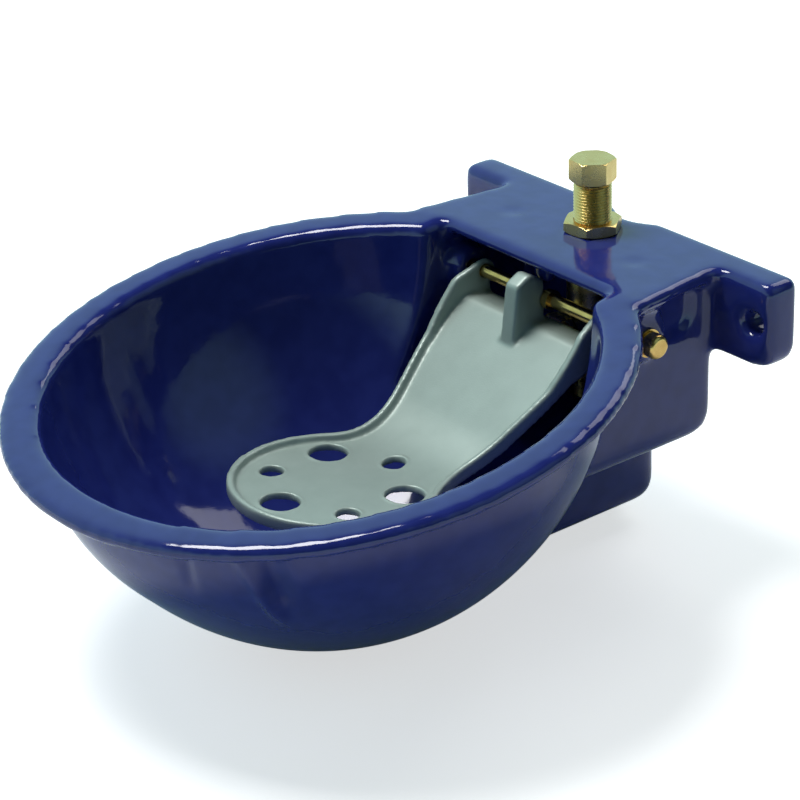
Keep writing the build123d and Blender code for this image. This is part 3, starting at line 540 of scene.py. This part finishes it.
def cast_skin(nodes, name, voxel_mm, passes, material, body):
    """Even skin with soft edges over the CAD nodes of one casting, which it replaces."""
    mesh = bpy.data.meshes.new(name + "_rough")
    shape = bmesh.new()
    for node in nodes:
        shape.from_mesh(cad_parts[node].data)
    bmesh.ops.remove_doubles(shape, verts=shape.verts, dist=WELD)
    shape.to_mesh(mesh)
    exact = BVHTree.FromBMesh(shape)
    shape.free()
    rough = bpy.data.objects.new(name + "_rough", mesh)
    bpy.context.scene.collection.objects.link(rough)
    remesh = rough.modifiers.new("skin", "REMESH")
    remesh.mode = "VOXEL"
    remesh.voxel_size = voxel_mm * MM
    smooth = rough.modifiers.new("soften", "SMOOTH")
    smooth.factor = PASS_STRENGTH
    smooth.iterations = passes
    evaluated = rough.evaluated_get(bpy.context.evaluated_depsgraph_get())
    skin = bpy.data.meshes.new_from_object(evaluated)
    bpy.data.objects.remove(rough)
    skin.name = name
    skin.materials.clear()
    skin.materials.append(material)
    skin.shade_smooth()
    normals = [vertex.normal.copy() for vertex in skin.vertices]
    for vertex, normal in zip(skin.vertices, normals):
        spot, cad_normal, _, distance = exact.find_nearest(vertex.co)
        if distance < REACH_VOXELS * voxel_mm * MM:
            agreement = (normal.dot(cad_normal) - NORMALS_PART) / (NORMALS_AGREE - NORMALS_PART)
            vertex.co = vertex.co.lerp(spot, ramp(agreement))
    shape = bmesh.new()
    shape.from_mesh(skin)
    for _ in range(LAST_PASSES):
        bmesh.ops.smooth_vert(
            shape,
            verts=shape.verts,
            factor=PASS_STRENGTH,
            use_axis_x=True,
            use_axis_y=True,
            use_axis_z=True,
        )
    shape.to_mesh(skin)
    shape.free()
    piece = bpy.data.objects.new(name, skin)
    bpy.context.scene.collection.objects.link(piece)
    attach(piece, body)
    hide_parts(*nodes)
    print(name, "has", len(skin.polygons), "faces")
    return piece


bowl_skin = cast_skin(
    ["bowl_casting", "supply_skirt"],
    "enamelled_bowl",
    CAST_VOXEL_MM,
    CAST_PASSES,
    enamel,
    "bowl",
)
tongue_skin = cast_skin(
    ["tongue"],
    "cast_tongue",
    TONGUE_VOXEL_MM,
    TONGUE_PASSES,
    zinc,
    "tongue",
)

# %% [markdown]
# ## Relief
# The pattern maker left two soft flutes at the front of the bowl, each with a rib and a crease
# beside it, and a round lip at each hole of the tongue. Such forms are under three millimetres high
# and have no edge. Cut solids would have one, so the skins' own points are raised or sunk by bell
# curves, which die away by themselves.

# %% Flutes, ribs and creases of the bowl
RIM_CENTRE = Vector((0, -177.0, 2.5)) * MM
RIM_TILT = radians(8.7)
RIM_AXIS = Vector((0, -sin(RIM_TILT), cos(RIM_TILT)))
FRONT_RELIEF = (
    # degrees from the front at the top and at the foot, half the width in degrees,
    # height in mm, and how far below the rim it starts and ends in mm
    (41.5, 42.0, 1.9, -2.6, 9.0, 44.0),
    (36.5, 40.0, 1.3, 1.6, 9.0, 50.0),
    (26.0, 24.5, 1.2, -1.2, 9.0, 30.0),
)
RUN_IN_MM = 4.0
RUN_OUT_MM = 8.0
FADE_MM = 16.0
FACES_OUT = 0.3


def bell(distance, half_width):
    """1 in the middle, dying away softly beyond the half width."""
    return exp(-((distance / half_width) ** 2))


normals = [vertex.normal.copy() for vertex in bowl_skin.data.vertices]
for vertex, normal in zip(bowl_skin.data.vertices, normals):
    out = vertex.co - RIM_CENTRE
    depth = -out.dot(RIM_AXIS) / MM
    out += RIM_AXIS * depth * MM
    if out.y > 0 or normal.dot(out.normalized()) < FACES_OUT:
        continue
    turn = degrees(atan2(abs(out.x), -out.y))
    for top_turn, foot_turn, half_width, height, top, foot in FRONT_RELIEF:
        if top < depth < foot + RUN_OUT_MM:
            down = (depth - top) / (foot - top)
            middle = top_turn + (foot_turn - top_turn) * down
            ends = ramp((depth - top) / RUN_IN_MM) * ramp((foot + RUN_OUT_MM - depth) / FADE_MM)
            vertex.co += normal * height * MM * bell(turn - middle, half_width) * ends
print("relief on the bowl:", len(FRONT_RELIEF), "bands each side")

# %% Lips of the tongue's holes
HOLES_MIDDLE = Vector((0, -169.3)) * MM
HOLES_RING = 29.9 * MM
HOLE_RADII = (8.1 * MM, 4.8 * MM)
HOLES = 6
FIRST_HOLE = -90
LIP_HEIGHT = 0.55 * MM
LIP_WIDTH = 0.8 * MM
LIP_REACH = 3 * LIP_WIDTH
FACES_UP = 0.3
holes = []
for step in range(HOLES):
    turn = radians(360 / HOLES * step + FIRST_HOLE)
    middle = HOLES_MIDDLE + Vector((cos(turn), sin(turn))) * HOLES_RING
    holes.append((middle, HOLE_RADII[step % 2]))
for vertex in tongue_skin.data.vertices:
    for middle, radius in holes:
        beside = (vertex.co.xy - middle).length - radius - LIP_WIDTH
        if abs(beside) < LIP_REACH and vertex.normal.z > FACES_UP:
            vertex.co.z += LIP_HEIGHT * bell(beside, LIP_WIDTH)
print("lips round", len(holes), "holes")

# %% [markdown]
# ## Screw threads
# A pipe thread is a ridge that winds round the pipe. A Screw modifier could wind a profile, but its
# ends would need cutting. Here the mesh is a grid bent into a tube: its columns go round the axis,
# and its rows climb by one pitch in each turn, so each row follows the helix exactly. A row's
# radius depends only on where it lies in the pitch. The first and last rows fold inwards and close
# the tube through its bore. Each line of the table below is one Math node.

# %% Thread tree
COLUMNS = 72
ROWS_PER_PITCH = 6
THREAD_STEPS = (
    # name, operation, what goes in: a number, a size or an earlier line
    ("turn", "ADD", "Grid X", 0.5),
    ("share up", "ADD", "Grid Y", 0.5),
    ("gaps", "SUBTRACT", "Rows", 1.0),
    ("rows up", "MULTIPLY", "share up", "gaps"),
    ("row", "ROUND", "rows up"),
    # rows 2 to last - 1 carry the thread and start one pitch below the tube
    ("thread rows", "SUBTRACT", "row", 2.0),
    ("climbed", "DIVIDE", "thread rows", float(ROWS_PER_PITCH)),
    ("from below", "SUBTRACT", "climbed", 1.0),
    ("pitches up", "ADD", "from below", "turn"),
    ("free height", "MULTIPLY", "pitches up", "Pitch"),
    ("over foot", "MAXIMUM", "free height", 0.0),
    ("thread height", "MINIMUM", "over foot", "Length"),
    # the ridge is flat on top and in the root, with straight flanks between
    ("in pitch", "FRACT", "climbed"),
    ("from crest", "SUBTRACT", "in pitch", 0.5),
    ("aside", "ABSOLUTE", "from crest"),
    ("past flat", "SUBTRACT", "aside", 0.1),
    ("down flank", "DIVIDE", "past flat", 0.3),
    ("not above", "MAXIMUM", "down flank", 0.0),
    ("cut share", "MINIMUM", "not above", 1.0),
    ("cut", "MULTIPLY", "Depth", "cut share"),
    ("ridge radius", "SUBTRACT", "Outer Radius", "cut"),
    # both ends are chamfered down to the root
    ("to top", "SUBTRACT", "Length", "thread height"),
    ("to end", "MINIMUM", "thread height", "to top"),
    ("root", "SUBTRACT", "Outer Radius", "Depth"),
    ("chamfer", "ADD", "root", "to end"),
    ("thread radius", "MINIMUM", "ridge radius", "chamfer"),
    # row 0 is the bore's upper rim, row 1 its lower rim, and the last row closes the top
    ("before last", "SUBTRACT", "Rows", 1.5),
    ("last row", "GREATER_THAN", "row", "before last"),
    ("first two", "LESS_THAN", "row", 1.5),
    ("first row", "LESS_THAN", "row", 0.5),
    ("in bore", "MAXIMUM", "first two", "last row"),
    ("at top", "MAXIMUM", "first row", "last row"),
    ("at foot", "SUBTRACT", "in bore", "at top"),
    ("on thread", "SUBTRACT", 1.0, "in bore"),
    ("outside", "MULTIPLY", "thread radius", "on thread"),
    ("inside", "MULTIPLY", "Bore Radius", "in bore"),
    ("radius", "ADD", "outside", "inside"),
    ("height outside", "MULTIPLY", "thread height", "on thread"),
    ("height at top", "MULTIPLY", "Length", "at top"),
    ("height in all", "ADD", "height outside", "height at top"),
    ("off foot", "SUBTRACT", 1.0, "at foot"),
    ("height", "MULTIPLY", "height in all", "off foot"),
    ("angle", "MULTIPLY", "turn", 2 * pi),
    ("cosine", "COSINE", "angle"),
    ("sine", "SINE", "angle"),
    ("bent x", "MULTIPLY", "radius", "cosine"),
    ("bent y", "MULTIPLY", "radius", "sine"),
)


def thread_tree():
    """Geometry Nodes tree of a threaded tube along +Z, with its sizes as named inputs."""
    tree = bpy.data.node_groups.new("threaded_tube", "GeometryNodeTree")
    sizes = ("Length", "Pitch", "Outer Radius", "Depth", "Bore Radius")
    for name in sizes:
        tree.interface.new_socket(name, in_out="INPUT", socket_type="NodeSocketFloat")
    tree.interface.new_socket("Rows", in_out="INPUT", socket_type="NodeSocketInt")
    tree.interface.new_socket("Material", in_out="INPUT", socket_type="NodeSocketMaterial")
    tree.interface.new_socket("Geometry", in_out="OUTPUT", socket_type="NodeSocketGeometry")
    given = add(tree, "NodeGroupInput").outputs
    grid = add(
        tree,
        "GeometryNodeMeshGrid",
        {"Size X": 1.0, "Size Y": 1.0, "Vertices X": COLUMNS + 1, "Vertices Y": given["Rows"]},
    )
    position = add(tree, "GeometryNodeInputPosition")
    spot = add(tree, "ShaderNodeSeparateXYZ", {0: position.outputs[0]})

    made = {name: given[name] for name in (*sizes, "Rows")}
    made["Grid X"] = spot.outputs["X"]
    made["Grid Y"] = spot.outputs["Y"]
    for name, operation, *values in THREAD_STEPS:
        inputs = {step: made.get(value, value) for step, value in enumerate(values)}
        made[name] = add(tree, "ShaderNodeMath", inputs, operation=operation).outputs[0]

    bent = add(
        tree,
        "ShaderNodeCombineXYZ",
        {"X": made["bent x"], "Y": made["bent y"], "Z": made["height"]},
    )
    moved = add(
        tree,
        "GeometryNodeSetPosition",
        {"Geometry": grid.outputs["Mesh"], "Position": bent.outputs[0]},
    )
    closed = add(
        tree,
        "GeometryNodeMergeByDistance",
        {"Geometry": moved.outputs[0], "Distance": WELD},
    )
    real = add(tree, "GeometryNodeRealizeInstances", {"Geometry": closed.outputs[0]})
    dressed = add(
        tree,
        "GeometryNodeSetMaterial",
        {"Geometry": real.outputs[0], "Material": given["Material"]},
    )
    add(tree, "NodeGroupOutput", {"Geometry": dressed.outputs[0]})
    return tree


threads = thread_tree()
print("thread tree has", len(threads.nodes), "nodes")

# %% Helper for pieces made by a tree
SHARP_EDGE = radians(38)


def grown(tree, name, place, **sizes):
    """Plain mesh object that a Geometry Nodes tree makes, moved to its place."""
    piece = bpy.data.objects.new(name, bpy.data.meshes.new(name))
    bpy.context.scene.collection.objects.link(piece)
    modifier = piece.modifiers.new(name, "NODES")
    modifier.node_group = tree
    sockets = {
        item.name: item.identifier
        for item in tree.interface.items_tree
        if item.in_out == "INPUT"
    }
    for size, value in sizes.items():
        modifier[sockets[size.replace("_", " ")]] = value
    evaluated = piece.evaluated_get(bpy.context.evaluated_depsgraph_get())
    mesh = bpy.data.meshes.new_from_object(evaluated)
    piece.modifiers.clear()
    mesh.transform(place)
    mesh.name = name
    mesh.shade_smooth()
    mesh.set_sharp_from_angle(angle=SHARP_EDGE)
    piece.data = mesh
    return piece


print("pieces from trees keep edges sharper than", round(degrees(SHARP_EDGE)), "degrees")

# %% [markdown]
# ## Pipe nipples
# Both nipples are cut with the same pipe thread, nineteen to the inch. They stand where the CAD
# nipples stand, so their ends and radius are read from the frame.

# %% Nipples
PIPE_PITCH_MM = 1.337
PIPE_DEPTH_MM = 0.7
PIPE_BORE_MM = 5.5
CLOSING_ROWS = 4
for node, name in (("upper_nipple", "threaded_neck"), ("inlet_nipple", "threaded_inlet")):
    low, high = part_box(node)
    middle = (low + high) / 2
    length = high.z - low.z
    nipple = grown(
        threads,
        name,
        Matrix.Translation((middle.x, middle.y, low.z)),
        Length=length,
        Pitch=PIPE_PITCH_MM * MM,
        Outer_Radius=(high.x - low.x) / 2,
        Depth=PIPE_DEPTH_MM * MM,
        Bore_Radius=PIPE_BORE_MM * MM,
        Rows=int((length / (PIPE_PITCH_MM * MM) + 1) * ROWS_PER_PITCH) + CLOSING_ROWS,
        Material=fitting_brass,
    )
    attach(nipple, "bowl")
    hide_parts(node)
    print(name, "has", len(nipple.data.polygons), "faces")

# %% [markdown]
# ## Everything else
# The other pieces have the right shape already. New meshes would add nothing, so each CAD piece
# only gets the finish of what it is made of.

# %% Finishes for the CAD pieces
FINISHES = {
    fitting_brass: ("hex_plug", "cover_lock_nut", "floor_lock_nut", "valve_tee"),
    pin_brass: ("hinge_pin", "pin_nut", "pin_head_washer", "pin_nut_washer", "pin_collars"),
    valve_brass: ("valve_seat",),
    steel: ("valve_stem", "disc_washer", "stem_nut", "valve_spring", "inlet_strainer"),
    rubber: ("cover_seal_ring", "floor_seal_ring", "plug_gasket", "seat_gasket", "seal_disc"),
}
for material, nodes in FINISHES.items():
    for node in nodes:
        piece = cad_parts[node]
        piece.data.materials.clear()
        piece.data.materials.append(material)
    print(material.name, "is on", ", ".join(nodes))

# %% [markdown]
# ## Eased edges
# Turned and milled brass is never sharp: the lathe breaks each edge, and light catches there. A
# bump can't change an outline, so each such piece gets a copy in place of the CAD node, with its
# outer edges bevelled and its round faces shaded round. Weighted normals keep the flats flat.

# %% Brass with eased edges
EASED_MM = {
    "hex_plug": 0.45,
    "cover_lock_nut": 0.35,
    "floor_lock_nut": 0.35,
    "hinge_pin": 1.2,
    "pin_nut": 0.3,
}
SHARP = radians(35)
FLAT = radians(1)
EASE_SEGMENTS = 3
ROUND_PROFILE = 0.5
FACE_WEIGHT = 100
for node, width in EASED_MM.items():
    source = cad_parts[node]
    shape = bmesh.new()
    shape.from_mesh(source.data)
    bmesh.ops.remove_doubles(shape, verts=shape.verts, dist=WELD)
    bmesh.ops.dissolve_limit(shape, angle_limit=FLAT, verts=shape.verts, edges=shape.edges)
    sharp = [edge for edge in shape.edges if edge.is_convex and edge.calc_face_angle() > SHARP]
    bmesh.ops.bevel(
        shape,
        geom=sharp,
        offset=width * MM,
        segments=EASE_SEGMENTS,
        profile=ROUND_PROFILE,
        affect="EDGES",
        clamp_overlap=True,
    )
    mesh = bpy.data.meshes.new(node + "_bevelled")
    shape.to_mesh(mesh)
    shape.free()
    mesh.materials.clear()
    mesh.materials.append(source.data.materials[0])
    mesh.shade_smooth()
    mesh.set_sharp_from_angle(angle=SHARP)
    bevelled = bpy.data.objects.new(node + "_bevelled", mesh)
    bpy.context.scene.collection.objects.link(bevelled)
    flat_faces = bevelled.modifiers.new("flat_faces", "WEIGHTED_NORMAL")
    flat_faces.weight = FACE_WEIGHT
    flat_faces.keep_sharp = True
    evaluated = bevelled.evaluated_get(bpy.context.evaluated_depsgraph_get())
    mesh = bpy.data.meshes.new_from_object(evaluated)
    bpy.data.objects.remove(bevelled)
    piece = bpy.data.objects.new(node + "_eased", mesh)
    bpy.context.scene.collection.objects.link(piece)
    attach(piece, "bowl")
    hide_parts(node)
    print(node, "is eased by", width, "mm with", len(sharp), "sharp edges")

# %% [markdown]
# ## Sizes
# The dressed bowl's box is printed here. The dressed bowl must stay within the CAD box.
# The CAD box was printed at the start.

# %% Print the dressed box
low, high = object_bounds()
print("dressed box in mm:", [round(value / MM, 1) for value in (*low, *high)])
